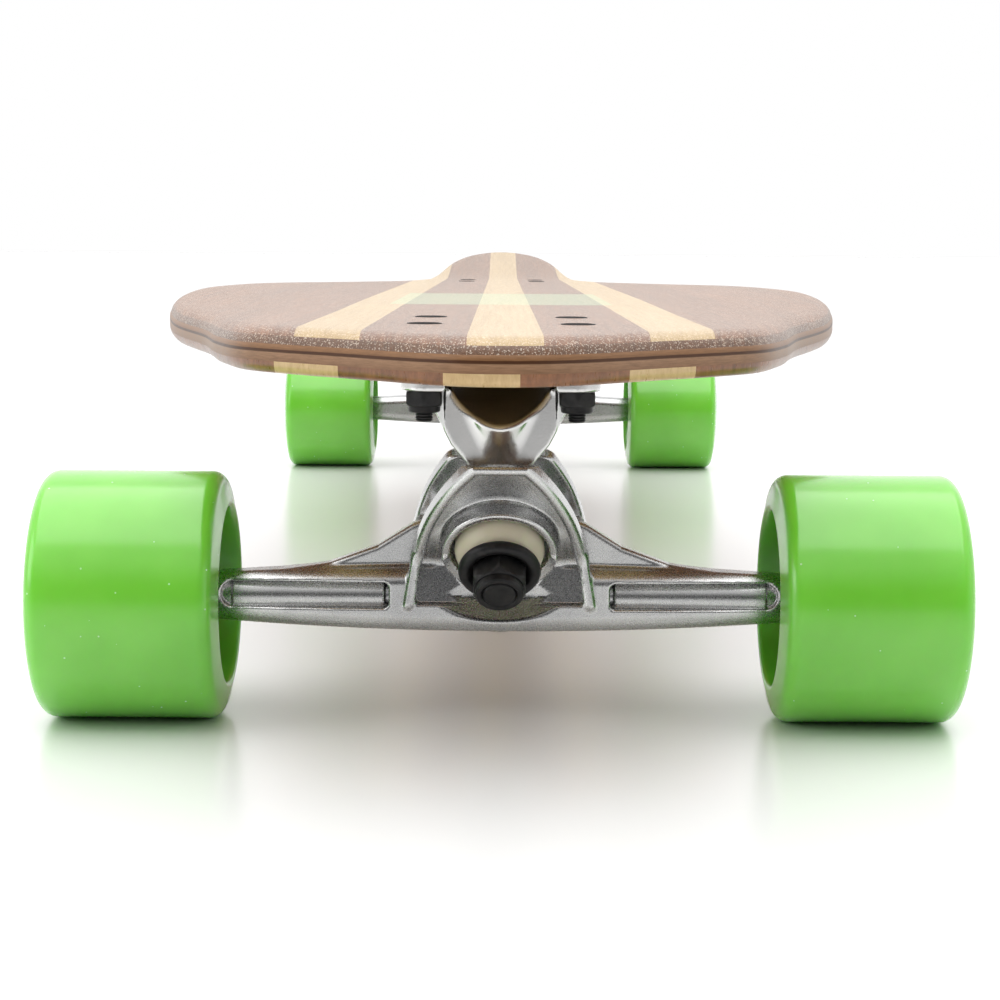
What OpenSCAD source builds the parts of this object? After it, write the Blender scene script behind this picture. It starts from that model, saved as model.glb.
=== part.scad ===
// Pintail longboard: laminated deck, two reverse kingpin trucks and four wheels.
// Millimetres. X is across the board, Y along it with the nose at -Y, Z up from the ground.

/* [Deck] */
// Length of the deck
deck_length = 1067; // [1000:1:1120]
// Distance between the two axles
wheelbase = 685; // [640:1:700]
// Nose length in front of the front axle
nose_overhang = 103; // [95:1:115]
// Height of the deck underside above the ground
deck_bottom_z = 100.8; // [100.8:0.1:106]
// Rise of the deck edges above its flat middle
concave_rise = 5; // [0:0.5:8]
// Slope of the tail kick, rise over run
kick_slope = 0.09; // [0:0.01:0.15]
// Thickness of the bottom veneer
bottom_veneer = 1.2; // [0.8:0.1:2]
// Thickness of the laminated core
core_plies = 8.6; // [6:0.1:10]
// Thickness of the striped top veneer
top_veneer = 1.2; // [0.8:0.1:2]
// Thickness of the clear grit coat
grit_coat = 1; // [0.6:0.1:1.5]

/* [Trucks] */
// Width of the hanger between the wheel shoulders
hanger_width = 180; // [176:1:184]
// Height of the axle above the ground, which is also the wheel radius
axle_z = 35; // [35:0.5:36]
// Radius of the axle
axle_r = 4; // [3.9:0.05:4]
// Angle of the steering axis from the vertical
rake = 40; // [38:1:42]
// Distance of the kingpin line above the axle
kingpin_offset = 19.5; // [19:0.5:20]
// Radius of the kingpin
kingpin_r = 4.76; // [4.5:0.01:4.76]
// Spacing of the mounting bolts across the board
bolt_span_x = 41.3; // [40:0.1:42]
// Spacing of the mounting bolts along the board
bolt_span_y = 53.8; // [52:0.1:64]
// Distance of the bolt pattern inboard of the axle
bolt_centre_y = 4.4; // [3:0.1:6]
// Radius of a mounting bolt
bolt_r = 2.4; // [2.2:0.05:2.4]

/* [Wheels] */
// Width of a wheel
wheel_width = 53; // [44:1:54]
// Radius of the hub core
core_r = 18.5; // [17:0.5:20]
// Balls in each bearing
ball_count = 7; // [6:1:7]

/* [Hidden] */
$fn = 64;
eps = 0.01;
cut = 60;

front_axle_y = nose_overhang - deck_length / 2;
rear_axle_y = front_axle_y + wheelbase;
TRUCKS = [["front", front_axle_y, 0], ["rear", rear_axle_y, 180]];

// Deck layers, each with its lower and upper height in the flat middle
z_core = deck_bottom_z + bottom_veneer;
z_top_veneer = z_core + core_plies;
z_grit = z_top_veneer + top_veneer;
deck_top_z = z_grit + grit_coat;

// Distance from the nose and half width at each station of the outline
OUTLINE = [
    [0, 5], [2, 10.5], [9, 20.5], [30, 40.5], [47, 57], [62, 68.5], [88, 77.5], [133, 87.5],
    [200, 107], [270, 117.5], [394, 117], [500, 108], [652, 82], [752, 61], [917, 43.5],
    [1000, 35], [1040, 25.5], [1060, 14], [1067, 5]
];
outline_length = 1067;
steps_per_station = 3;
flat_half = 28;
concave_reach = 89.5;
concave_start = 130;
concave_full = 350;
wing_strips = 5;
kick_start_y = rear_axle_y + 45;
kick_blend = 90;

// Truck levels in the kingpin frame: x across, y along the steering axis, z towards the nut
seat_plate_back = -13;
seat_plate_front = -7;
seat_r = 13;
collar_r = 15.7;
steer_t = -10;
base_seat_t = -30;
kingpin_head_t = -36;
washer_t = 5.7;
washer_thick = 2.3;
bushing_r = 12;
pivot_n = -31.5;
pivot_r = 5;
cup_r = 7.6;
cup_end_n = -37.8;
housing_r = 9;
housing_end_n = -39.3;
housing_rim_n = -28.5;
flange_z = 95;
u_half = 13.2;
foot_y = -kingpin_offset * sin(rake);
foot_z = axle_z + kingpin_offset * cos(rake);

// Right side of the hanger's shield in the kingpin frame, from its foot up to its flat top
SHIELD_SIDE = [
    [26.7, -25.6], [26.7, -18], [25.7, -9.5], [24.6, -4.5], [22.8, 3.7], [20.2, 11.8],
    [16.2, 20], [11.5, 27.5], [7.5, 32]
];

// Wheel stack along the axle, measured outward from the middle of the wheel
wheel_x = hanger_width / 2 + 12.8;
bearing_in = 5;
bearing_out = 12;
bearing_r = 11;
outer_race_r = 9.7;
inner_race_r = 5.8;
ball_r = 1.9;
ball_pitch_r = (outer_race_r + inner_race_r) / 2;
speed_washer = 0.8;
core_half = 13;

WHEELS = [
    ["wheel_fl", -1, front_axle_y], ["wheel_fr", 1, front_axle_y],
    ["wheel_rl", -1, rear_axle_y], ["wheel_rr", 1, rear_axle_y]
];
DECK_PARTS = ["deck_core", "deck_bottom_veneer", "deck_top_veneer", "grip_coat"];
TRUCK_PARTS = [
    "baseplate", "pivot_cup", "kingpin", "kingpin_nut", "washer_boardside", "washer_roadside",
    "bushing_boardside", "bushing_roadside", "mounting_bolts", "mounting_nuts", "hanger", "axle"
];
WHEEL_PARTS = [
    "tyre", "core", "bearing_outer", "bearing_balls", "bearing_inner", "bearing_spacer",
    "speed_washers", "axle_nut"
];

// ---------------------------------------------------------------- deck

// Slope of the outline at a station, from its neighbours
function station_slope(i) =
    let (a = OUTLINE[max(i - 1, 0)], b = OUTLINE[min(i + 1, len(OUTLINE) - 1)])
    (b[1] - a[1]) / (b[0] - a[0]);

// Point of the outline a share u of the way from station i to the next, as a cubic
function outline_point(i, u) =
    let (a = OUTLINE[i], b = OUTLINE[i + 1], run = b[0] - a[0])
    [
        a[0] + u * run,
        (2 * pow(u, 3) - 3 * pow(u, 2) + 1) * a[1] + (pow(u, 3) - 2 * pow(u, 2) + u) * run * station_slope(i)
            + (3 * pow(u, 2) - 2 * pow(u, 3)) * b[1] + (pow(u, 3) - pow(u, 2)) * run * station_slope(i + 1)
    ];

ROWS = concat(
    [
        for (i = [0 : len(OUTLINE) - 2], k = [0 : steps_per_station - 1])
            outline_point(i, k / steps_per_station)
    ],
    [OUTLINE[len(OUTLINE) - 1]]
);

function row_y(v) = v * deck_length / outline_length - deck_length / 2;

// The nose is flat; the concave builds up smoothly behind it
function concave_share(v) =
    let (u = min(max((v - concave_start) / (concave_full - concave_start), 0), 1))
    u * u * (3 - 2 * u);
function concave(x, v) =
    concave_rise * concave_share(v) * pow(max(abs(x) - flat_half, 0) / concave_reach, 2);
function kick(y) =
    let (d = max(y - kick_start_y, 0))
    kick_slope * (d < kick_blend ? d * d / (2 * kick_blend) : d - kick_blend / 2);

// Half row of x values: the edge of the flat strip, then the wing out to the deck edge
function half_row(w) =
    let (inner = min(flat_half, 0.6 * w))
    [for (k = [0 : wing_strips]) inner + (w - inner) * k / wing_strips];
function full_row(w) =
    let (h = half_row(w))
    concat([for (k = [wing_strips : -1 : 0]) -h[k]], h);
function sheet_surface(z) =
    [for (r = ROWS) for (x = full_row(r[1])) [x, row_y(r[0]), z + concave(x, r[0]) + kick(row_y(r[0]))]];

// One layer of the deck between two heights, following the concave and the kick
module deck_sheet(z0, z1) {
    n = 2 * (wing_strips + 1);
    m = len(ROWS);
    upper = n * m;
    points = concat(sheet_surface(z0), sheet_surface(z1));
    quads = [
        for (i = [0 : m - 2], j = [0 : n - 2])
            let (k = i * n + j) [k, k + 1, k + n + 1, k + n]
    ];
    bottoms = [for (q = quads, t = [[q[0], q[1], q[2]], [q[0], q[2], q[3]]]) t];
    tops = [for (t = bottoms) [t[2] + upper, t[1] + upper, t[0] + upper]];
    rim = concat(
        [for (j = [0 : n - 2]) j],
        [for (i = [0 : m - 2]) i * n + n - 1],
        [for (j = [n - 1 : -1 : 1]) (m - 1) * n + j],
        [for (i = [m - 1 : -1 : 1]) i * n]
    );
    edge = len(rim);
    walls = [
        for (k = [0 : edge - 1])
            let (a = rim[k], b = rim[(k + 1) % edge])
            for (t = [[a, a + upper, b + upper], [a, b + upper, b]]) t
    ];
    polyhedron(points = points, faces = concat(bottoms, tops, walls));
}

// Places children at the four bolts of one truck, in the truck's own frame
module at_bolts() {
    for (sx = [-1, 1], sy = [-1, 1])
        translate([sx * bolt_span_x / 2, bolt_centre_y + sy * bolt_span_y / 2, 0]) children();
}

module at_truck(t) {
    translate([0, t[1], 0]) rotate([0, 0, t[2]]) children();
}

// Countersunk bolt head, flush with the grit coat
head_r = 4.7;
head_depth = 2.5;
module countersink(gap) {
    translate([0, 0, deck_top_z - head_depth])
        cylinder(r1 = bolt_r + gap, r2 = head_r + gap, h = head_depth + gap);
}

module bolt_holes() {
    for (t = TRUCKS) at_truck(t) at_bolts() {
        translate([0, 0, deck_bottom_z - 5]) cylinder(r = bolt_r + 0.05, h = 25);
        countersink(0.05);
    }
}

module deck_layer(z0, z1) {
    difference() {
        deck_sheet(z0, z1);
        bolt_holes();
    }
}

module deck_core() {
    color("peru") deck_layer(z_core, z_top_veneer);
}

module deck_bottom_veneer() {
    color("burlywood") deck_layer(deck_bottom_z, z_core);
}

module deck_top_veneer() {
    color("sienna") deck_layer(z_top_veneer, z_grit);
}

module grip_coat() {
    color("rosybrown") deck_layer(z_grit, deck_top_z);
}

// ---------------------------------------------------------------- trucks

// Kingpin frame of a truck: origin on the kingpin line nearest the axle
module kingpin_frame() {
    translate([0, foot_y, foot_z]) rotate([90 + rake, 0, 0]) children();
}

// Steering axis of a truck as local Z, through the middle of the bushing seats and the pivot ball
module steering_axis() {
    kingpin_frame() translate([0, 0, steer_t]) rotate([-90, 0, 0]) children();
}

// Cylinder between two levels along the local Z axis
module rod(r, from, to) {
    translate([0, 0, from]) cylinder(r = r, h = to - from);
}

module hex(across_flats, from, to) {
    translate([0, 0, from]) cylinder(r = across_flats / sqrt(3), h = to - from, $fn = 6);
}

module rounded_rect(w, h, r) {
    square([w - 2 * r, h], center = true);
    square([w, h - 2 * r], center = true);
    for (sx = [-1, 1], sy = [-1, 1]) translate([sx * (w / 2 - r), sy * (h / 2 - r)]) circle(r);
}

// Extrudes a side profile drawn in Y and Z to a width across X
module across(width) {
    rotate([90, 0, 90]) linear_extrude(width, center = true) children();
}

// Side profile of the casting below the flange: channel lip, kingpin seat, leg and pivot end
LEG = [
    [-30, 96], [-30, 94], [-17, 76.5], [-9, 76], [1.5, 79.9], [20.1, 57.7], [28.4, 47.8],
    [22.5, 39], [19, 31], [25, 23], [33, 26], [43, 46], [54, 94], [54, 96]
];
// Front profile of the same casting: it narrows below the flange
TAPER = [[-22, 96], [-11.5, 75], [-10, 68], [-10, 15], [10, 15], [10, 68], [11.5, 75], [22, 96]];
flange_length = 88;
flange_width = 54;
ramp_slope = 28;

module flange() {
    translate([0, bolt_centre_y + 5.6, flange_z]) linear_extrude(deck_bottom_z - flange_z)
        rounded_rect(flange_width, flange_length, 8);
}

module baseplate() {
    color("silver") difference() {
        union() {
            flange();
            intersection() {
                across(cut) polygon(LEG);
                rotate([90, 0, 0]) linear_extrude(200, center = true) polygon(TAPER);
            }
            kingpin_frame() rod(14, kingpin_head_t, base_seat_t);
            steering_axis() rod(housing_r, housing_end_n, housing_rim_n);
        }
        // Open channel at the front, its floor a ramp
        translate([0, -20, 84]) rotate([ramp_slope - 90, 0, 0]) translate([0, -u_half, -30])
            cylinder(r = u_half, h = 90);
        // Pocket for the kingpin head and the bore of its seat
        kingpin_frame() rod(8.6, -cut - 20, kingpin_head_t);
        kingpin_frame() rod(kingpin_r + 0.05, kingpin_head_t - 1, base_seat_t + 1);
        steering_axis() rod(cup_r, cup_end_n, -20);
        at_bolts() rod(bolt_r + 0.05, flange_z - 5, deck_bottom_z + 5);
        at_bolts() rod(6, flange_z - 20, flange_z);
    }
}

module pivot_cup() {
    color("dimgray") steering_axis() difference() {
        rod(cup_r, cup_end_n, housing_rim_n);
        rod(pivot_r + 0.05, pivot_n, -20);
        translate([0, 0, pivot_n]) sphere(pivot_r + 0.05);
    }
}

module kingpin() {
    color("dimgray") kingpin_frame() {
        rod(kingpin_r, kingpin_head_t, 17);
        hex(14.3, kingpin_head_t - 6, kingpin_head_t);
    }
}

module kingpin_nut() {
    color("black") kingpin_frame() difference() {
        union() {
            hex(14.3, washer_t + washer_thick, 14);
            rod(6.6, 14, 16);
        }
        rod(kingpin_r, 0, 20);
    }
}

// Cup washer: a disc with a lip that holds the end of the bushing; side is the way it faces
module cup_washer(face, side) {
    translate([0, 0, face]) mirror([0, 0, side > 0 ? 0 : 1]) difference() {
        rod(11.4, -0.9, washer_thick);
        rod(10.3, -1, 0);
        rod(kingpin_r + 0.05, -2, washer_thick + 1);
    }
}

module washer_roadside() {
    color("black") kingpin_frame() cup_washer(washer_t, 1);
}

module washer_boardside() {
    color("black") kingpin_frame() cup_washer(base_seat_t + washer_thick, -1);
}

// Bushing with a straight foot in its seat and a cone up to the cup washer
module bushing(seat, rim, face) {
    dir = face > seat ? 1 : -1;
    color("beige") kingpin_frame() translate([0, 0, seat]) mirror([0, 0, dir > 0 ? 0 : 1]) difference() {
        union() {
            rod(bushing_r + 0.4, 0, abs(rim - seat));
            translate([0, 0, abs(rim - seat)])
                cylinder(r1 = bushing_r + 0.4, r2 = 10.2, h = abs(face - rim) - 0.9);
            rod(10.2, abs(face - seat) - 0.9, abs(face - seat));
        }
        rod(kingpin_r + 0.1, -1, abs(face - seat) + 1);
    }
}

module bushing_roadside() {
    bushing(seat_plate_front, 0, washer_t);
}

module bushing_boardside() {
    bushing(seat_plate_back, seat_plate_back - 5, base_seat_t + washer_thick);
}

module mounting_bolts() {
    color("black") at_bolts() difference() {
        union() {
            rod(bolt_r, 86.5, deck_top_z - head_depth + eps);
            countersink(0);
        }
        hex(3.2, deck_top_z - 1.8, deck_top_z + 1);
    }
}

module mounting_nuts() {
    color("black") at_bolts() difference() {
        union() {
            hex(9.5, 90.4, flange_z);
            rod(4.3, 89, 90.4);
        }
        rod(bolt_r, 80, 100);
    }
}

// Shield outline, drawn smaller by an inset
module shield(inset) {
    last = len(SHIELD_SIDE) - 1;
    half = [
        for (k = [0 : last])
            let (p = SHIELD_SIDE[k]) [p[0] - 0.9 * inset, p[1] - inset * k / last]
    ];
    polygon(concat(half, [for (k = [len(half) - 1 : -1 : 0]) [-half[k][0], half[k][1]]]));
}

module slab(from, to) {
    translate([0, 0, from]) linear_extrude(to - from) children();
}

// Gusset on each side of the shield, down to the beam
GUSSET = [[14, 59], [25, 55.5], [35, 49], [48, 44.5], [66, 42], [66, 36], [14, 36]];
arch_top_n = 14;
arch_low_n = -24;
beam_low_z = 26.6;
beam_high_z = 43.6;
slot_from = 30;
slot_to = 78;
slot_z = 37.4;
slot_r = 4.1;

module beam_length(r) {
    translate([0, 0, axle_z]) rotate([0, 90, 0]) cylinder(r = r, h = hanger_width, center = true);
}

module hanger() {
    color("lightgray") difference() {
        union() {
            kingpin_frame() {
                slab(-7, -4) shield(0);
                slab(-4, 0) difference() {
                    shield(0);
                    shield(2.8);
                }
                rod(collar_r, -18, 0);
                // Rear arch, cut short of the channel lip and of the pivot housing
                slab(-22, -18) intersection() {
                    translate([0, -5]) shield(0);
                    translate([-30, arch_low_n]) square([60, arch_top_n - arch_low_n]);
                }
                slab(-17, -4) translate([0, -14]) square([36, 20], center = true);
            }
            // Pivot nose, ending in a ball
            steering_axis() {
                rod(4.4, pivot_n, -14);
                rod(9, -27, -14);
                translate([0, 0, pivot_n]) sphere(pivot_r);
            }
            difference() {
                translate([0, 0, (beam_low_z + beam_high_z) / 2]) rotate([90, 0, 90])
                    linear_extrude(2 * slot_to + 6, center = true)
                    rounded_rect(15, beam_high_z - beam_low_z, 7);
                for (s = [-1, 1]) {
                    translate([s * (slot_from + slot_to) / 2, -4, slot_z]) rotate([90, 0, 0])
                        linear_extrude(10) rounded_rect(slot_to - slot_from, 2 * slot_r, slot_r - 0.1);
                }
            }
            beam_length(6.4);
            for (s = [0, 1]) mirror([s, 0, 0])
                rotate([90, 0, 0]) linear_extrude(10, center = true) polygon(GUSSET);
        }
        kingpin_frame() {
            rod(seat_r, seat_plate_front, 40);
            rod(7.5, -25, 5);
            rod(seat_r, -25, seat_plate_back);
            rod(16.2, -23, -18);
        }
        beam_length(axle_r);
    }
}

module axle() {
    color("gainsboro") translate([0, 0, axle_z]) rotate([0, 90, 0])
        cylinder(r = axle_r, h = 2 * (hanger_width / 2 + 34), center = true);
}

// ---------------------------------------------------------------- wheels

// Places children with local Z pointing outward along the axle
module at_wheel(w) {
    translate([w[1] * wheel_x, w[2], axle_z]) rotate([0, 90 * w[1], 0]) children();
}

lip_r = 4;
recess_r = 25.7;

module tyre() {
    color("limegreen") rotate_extrude() difference() {
        intersection() {
            rounded_rect(2 * axle_z, wheel_width, lip_r);
            translate([0, -cut]) square([cut, 2 * cut]);
        }
        translate([-1, -cut]) square([core_r + 1, 2 * cut]);
        for (s = [0, 1]) mirror([0, s])
            polygon([
                [0, core_half], [20, core_half], [23, core_half + 1.5],
                [recess_r, wheel_width / 2 + 1], [0, wheel_width / 2 + 1]
            ]);
    }
}

module core() {
    color("white") difference() {
        rod(core_r, -core_half, core_half);
        rod(9.5, -cut, cut);
        rod(bearing_r, bearing_in, cut);
        rod(bearing_r, -cut, -bearing_in);
    }
}

module both_sides() {
    for (s = [0, 1]) mirror([0, 0, s]) children();
}

module ring(outer, inner, from, to) {
    difference() {
        rod(outer, from, to);
        rod(inner, from - 1, to + 1);
    }
}

module bearing_outer() {
    color("gainsboro") both_sides() {
        ring(bearing_r, outer_race_r, bearing_in, bearing_out);
        ring(outer_race_r, inner_race_r + 0.3, bearing_in + 0.3, bearing_in + 0.7);
        ring(outer_race_r, inner_race_r + 0.3, bearing_out - 0.7, bearing_out - 0.3);
    }
}

module bearing_balls() {
    color("silver") for (side = [-1, 1], k = [0 : ball_count - 1])
        rotate([0, 0, 360 * k / ball_count])
            translate([ball_pitch_r, 0, side * (bearing_in + bearing_out) / 2]) sphere(ball_r);
}

module bearing_inner() {
    color("silver") both_sides() ring(inner_race_r, axle_r, bearing_in, bearing_out);
}

module bearing_spacer() {
    color("silver") ring(5.2, axle_r, -bearing_in, bearing_in);
}

module speed_washers() {
    color("silver") both_sides() ring(5.6, axle_r, bearing_out, bearing_out + speed_washer);
}

module axle_nut() {
    color("silver") difference() {
        union() {
            hex(12.7, bearing_out + speed_washer, 17.6);
            rod(5.7, 17.6, 18.8);
        }
        rod(axle_r, 0, 30);
    }
}

// ---------------------------------------------------------------- assembly

module truck_part(name) {
    if (name == "baseplate") baseplate();
    if (name == "pivot_cup") pivot_cup();
    if (name == "kingpin") kingpin();
    if (name == "kingpin_nut") kingpin_nut();
    if (name == "washer_boardside") washer_boardside();
    if (name == "washer_roadside") washer_roadside();
    if (name == "bushing_boardside") bushing_boardside();
    if (name == "bushing_roadside") bushing_roadside();
    if (name == "mounting_bolts") mounting_bolts();
    if (name == "mounting_nuts") mounting_nuts();
    if (name == "hanger") hanger();
    if (name == "axle") axle();
}

module wheel_part(name) {
    if (name == "tyre") tyre();
    if (name == "core") core();
    if (name == "bearing_outer") bearing_outer();
    if (name == "bearing_balls") bearing_balls();
    if (name == "bearing_inner") bearing_inner();
    if (name == "bearing_spacer") bearing_spacer();
    if (name == "speed_washers") speed_washers();
    if (name == "axle_nut") axle_nut();
}

deck_core();
deck_bottom_veneer();
deck_top_veneer();
grip_coat();
for (t = TRUCKS, p = TRUCK_PARTS)
    at_truck(t) truck_part(p);
for (w = WHEELS, p = WHEEL_PARTS)
    at_wheel(w) wheel_part(p);
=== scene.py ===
# Pintail longboard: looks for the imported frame. Lengths in millimetres, turned to metres by MM.
import math
import bmesh
import bpy
import numpy as np
from mathutils import Euler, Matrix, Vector


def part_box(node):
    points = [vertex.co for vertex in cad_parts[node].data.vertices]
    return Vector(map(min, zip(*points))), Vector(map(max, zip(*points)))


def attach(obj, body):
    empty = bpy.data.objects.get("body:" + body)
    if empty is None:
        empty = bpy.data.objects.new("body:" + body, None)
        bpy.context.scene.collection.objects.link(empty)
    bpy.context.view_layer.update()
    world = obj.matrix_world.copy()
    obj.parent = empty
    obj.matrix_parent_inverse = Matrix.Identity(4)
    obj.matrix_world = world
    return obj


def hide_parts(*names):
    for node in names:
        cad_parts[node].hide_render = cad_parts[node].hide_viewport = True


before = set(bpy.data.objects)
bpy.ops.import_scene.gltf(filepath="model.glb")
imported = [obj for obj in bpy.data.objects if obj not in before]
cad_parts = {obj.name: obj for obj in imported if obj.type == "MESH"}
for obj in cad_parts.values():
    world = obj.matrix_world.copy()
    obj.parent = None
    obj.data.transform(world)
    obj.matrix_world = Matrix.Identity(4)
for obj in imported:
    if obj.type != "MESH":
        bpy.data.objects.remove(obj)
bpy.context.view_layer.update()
MM = 0.001


# ------------------------------------------------------------------ sizes from the frame

def span(node):
    """Lowest and highest corner of a CAD node, in millimetres."""
    low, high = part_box(node)
    return np.array(low) / MM, np.array(high) / MM


def middle(node):
    low, high = span(node)
    return (low + high) / 2


AXLE_Z = middle("front_axle")[2]
TRUCKS = {"front": (middle("front_axle")[1], 1), "rear": (middle("rear_axle")[1], -1)}
WHEELS = {
    "wheel_fl": ("front", -1), "wheel_fr": ("front", 1),
    "wheel_rl": ("rear", -1), "wheel_rr": ("rear", 1),
}
WHEEL_X = abs(middle("wheel_fr_tyre")[0])
DECK_LOW = span("deck_bottom_veneer")[0]
DECK_BOTTOM = DECK_LOW[2]
DECK_THICK = 12.0
DECK_TOP = DECK_BOTTOM + DECK_THICK
HANGER_HALF = span("front_hanger")[1][0]

# Mounting bolts of a truck: half their spacing across and along, and how far their middle is behind the axle
BOLT_X = 20.65
BOLT_Y = 26.9
BOLT_MIDDLE = 4.4

# Kingpin frame of a truck: x across, n along the steering axis, t towards the kingpin nut; its origin
# is on the kingpin, KINGPIN_OFFSET along n from the axle
RAKE = math.radians(40)
KINGPIN_OFFSET = 19.5
N_DIR = np.array([-math.sin(RAKE), math.cos(RAKE)])
T_DIR = np.array([-math.cos(RAKE), -math.sin(RAKE)])
FOOT = np.array([0.0, AXLE_Z]) + KINGPIN_OFFSET * N_DIR


def kingpin_to_truck(points):
    """Points (x, n, t) of the kingpin frame as (x, y, z) of the truck, its axle at y = 0."""
    p = np.asarray(points, float)
    yz = FOOT + p[:, 1:2] * N_DIR + p[:, 2:3] * T_DIR
    return np.column_stack([p[:, 0], yz])


def truck_to_board(points, truck):
    """Points of a truck as points of the board; the rear truck faces the other way."""
    p = np.asarray(points, float)
    y, side = TRUCKS[truck]
    return np.column_stack([side * p[:, 0], y + side * p[:, 1], p[:, 2]])


# ------------------------------------------------------------------ mesh helpers

def make_piece(name, points, faces, material, weld=True, sharp_deg=None):
    """An object of quads given in millimetres, smooth but for edges sharper than an angle."""
    mesh = bpy.data.meshes.new(name)
    mesh.from_pydata((np.asarray(points) * MM).tolist(), [], np.asarray(faces).tolist())
    work = bmesh.new()
    work.from_mesh(mesh)
    if weld:
        bmesh.ops.remove_doubles(work, verts=work.verts, dist=1e-6)
    bmesh.ops.recalc_face_normals(work, faces=work.faces)
    work.to_mesh(mesh)
    work.free()
    mesh.materials.append(material)
    mesh.polygons.foreach_set("use_smooth", [True] * len(mesh.polygons))
    if sharp_deg is not None:
        mesh.set_sharp_from_angle(angle=math.radians(sharp_deg))
    piece = bpy.data.objects.new(name, mesh)
    bpy.context.collection.objects.link(piece)
    return piece


def finish_piece(piece, body, slot, *nodes):
    """Puts a piece on its body and hides the CAD nodes it replaces; the slot argument is not used."""
    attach(piece, body)
    if nodes:
        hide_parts(*nodes)


def turn(profile, count=96, closed=True):
    """Points and quads of a profile [(radius, height), ...] turned about local z."""
    rows = len(profile)
    points = []
    for k in range(count):
        a = 2 * math.pi * k / count
        points += [(r * math.cos(a), r * math.sin(a), h) for r, h in profile]
    faces = []
    steps = rows if closed else rows - 1
    for k in range(count):
        n = (k + 1) % count
        for i in range(steps):
            j = (i + 1) % rows
            faces.append((k * rows + i, n * rows + i, n * rows + j, k * rows + j))
    return np.array(points), faces


def hex_nut(across, low, high, bore, collar=0.0, count=96):
    """A chamfered hexagon nut along local z, with a round collar on its high end."""
    chamfer = 0.09 * across
    rows = [(low, 0.0)] + [(low + chamfer * s, s) for s in (0.3, 0.65, 1.0)]
    rows += [(high - chamfer * s, s) for s in (1.0, 0.65, 0.3)] + [(high, 0.0)]
    points, faces = [], []
    collar_r = across * 0.46
    top = high + collar
    inner = []
    if collar:
        inner = [(collar_r, high), (collar_r, top - 0.4), (collar_r - 0.4, top)]
    inner += [(bore + 0.5, top), (bore, top - 0.5), (bore, low + 0.5), (bore + 0.5, low)]
    total = len(rows) + len(inner)
    for k in range(count):
        a = 2 * math.pi * k / count
        off = (a + math.pi / 6) % (math.pi / 3) - math.pi / 6
        flat = across / 2 / math.cos(off)
        for h, s in rows:
            r = min(flat, across / 2 * (1 + 0.16 * s) - 0.02 * across * (1 - s))
            points.append((r * math.cos(a), r * math.sin(a), h))
        points += [(r * math.cos(a), r * math.sin(a), h) for r, h in inner]
    for k in range(count):
        n = (k + 1) % count
        for i in range(total):
            j = (i + 1) % total
            faces.append((k * total + i, n * total + i, n * total + j, k * total + j))
    return np.array(points), faces


def merge_meshes(meshes):
    """Several (points, faces) as one."""
    points, faces, base = [], [], 0
    for p, f in meshes:
        points.append(p)
        faces += [tuple(base + i for i in face) for face in f]
        base += len(p)
    return np.vstack(points), faces


def arc(cr, ch, radius, start, end, steps=6):
    """Profile points on a round corner; angles in degrees from the radial direction."""
    return [
        (cr + radius * math.cos(math.radians(a)), ch + radius * math.sin(math.radians(a)))
        for a in np.linspace(start, end, steps)
    ]


# ------------------------------------------------------------------ distance fields for castings

def smooth_min(a, b, k):
    h = np.clip(0.5 + 0.5 * (b - a) / k, 0, 1)
    return b * (1 - h) + a * h - k * h * (1 - h)


def smooth_max(a, b, k):
    return -smooth_min(-a, -b, k)


def between(v, low, high):
    return np.maximum(low - v, v - high)


def polygon_distance(x, y, corners):
    """Signed distance to a closed polygon, negative inside."""
    corners = np.asarray(corners, float)
    best = np.full(x.shape, 1e9)
    inside = np.zeros(x.shape, bool)
    for (ax, ay), (bx, by) in zip(corners, np.roll(corners, -1, axis=0)):
        ex, ey = bx - ax, by - ay
        wx, wy = x - ax, y - ay
        s = np.clip((wx * ex + wy * ey) / (ex * ex + ey * ey), 0, 1)
        best = np.minimum(best, (wx - s * ex) ** 2 + (wy - s * ey) ** 2)
        if ay != by:
            inside ^= ((ay > y) != (by > y)) & (x < ax + (y - ay) * ex / ey)
    return np.where(inside, -1.0, 1.0) * np.sqrt(best)


def surface_net(field, low, step):
    """Quads of the zero surface of a sampled field."""
    inside = field < 0
    shape = tuple(s - 1 for s in field.shape)
    total = np.zeros(shape + (3,))
    count = np.zeros(shape)

    def corner(array, o):
        return array[o[0]:o[0] + shape[0], o[1]:o[1] + shape[1], o[2]:o[2] + shape[2]]

    for axis in range(3):
        for u in (0, 1):
            for v in (0, 1):
                start = [u, v]
                start.insert(axis, 0)
                end = list(start)
                end[axis] = 1
                fa, fb = corner(field, start), corner(field, end)
                crossed = (fa < 0) != (fb < 0)
                s = np.where(crossed, fa / np.where(crossed, fa - fb, 1), 0)
                for c in range(3):
                    total[..., c] += crossed * (start[c] + (s if c == axis else 0))
                count += crossed
    used = count > 0
    index = np.full(shape, -1)
    index[used] = np.arange(used.sum())
    points = low + step * (np.argwhere(used) + total[used] / count[used][:, None])
    quads = []
    for axis in range(3):
        a, b = [c for c in range(3) if c != axis]
        here = np.take(inside, range(field.shape[axis] - 1), axis)
        there = np.take(inside, range(1, field.shape[axis]), axis)
        cell = np.argwhere(here != there)
        cell = cell[(cell[:, a] > 0) & (cell[:, b] > 0) & (cell[:, a] < shape[a]) & (cell[:, b] < shape[b])]
        ring = []
        for da, db in ((0, 0), (1, 0), (1, 1), (0, 1)):
            back = np.zeros(3, int)
            back[a], back[b] = da, db
            ring.append(index[tuple((cell - back).T)])
        quads.append(np.column_stack(ring))
    return points, np.vstack(quads)


def gradient(field, points, reach=0.05):
    slopes = []
    for axis in range(3):
        shift = np.zeros(3)
        shift[axis] = reach
        slopes.append(field(*(points + shift).T) - field(*(points - shift).T))
    return np.column_stack(slopes) / (2 * reach)


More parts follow.
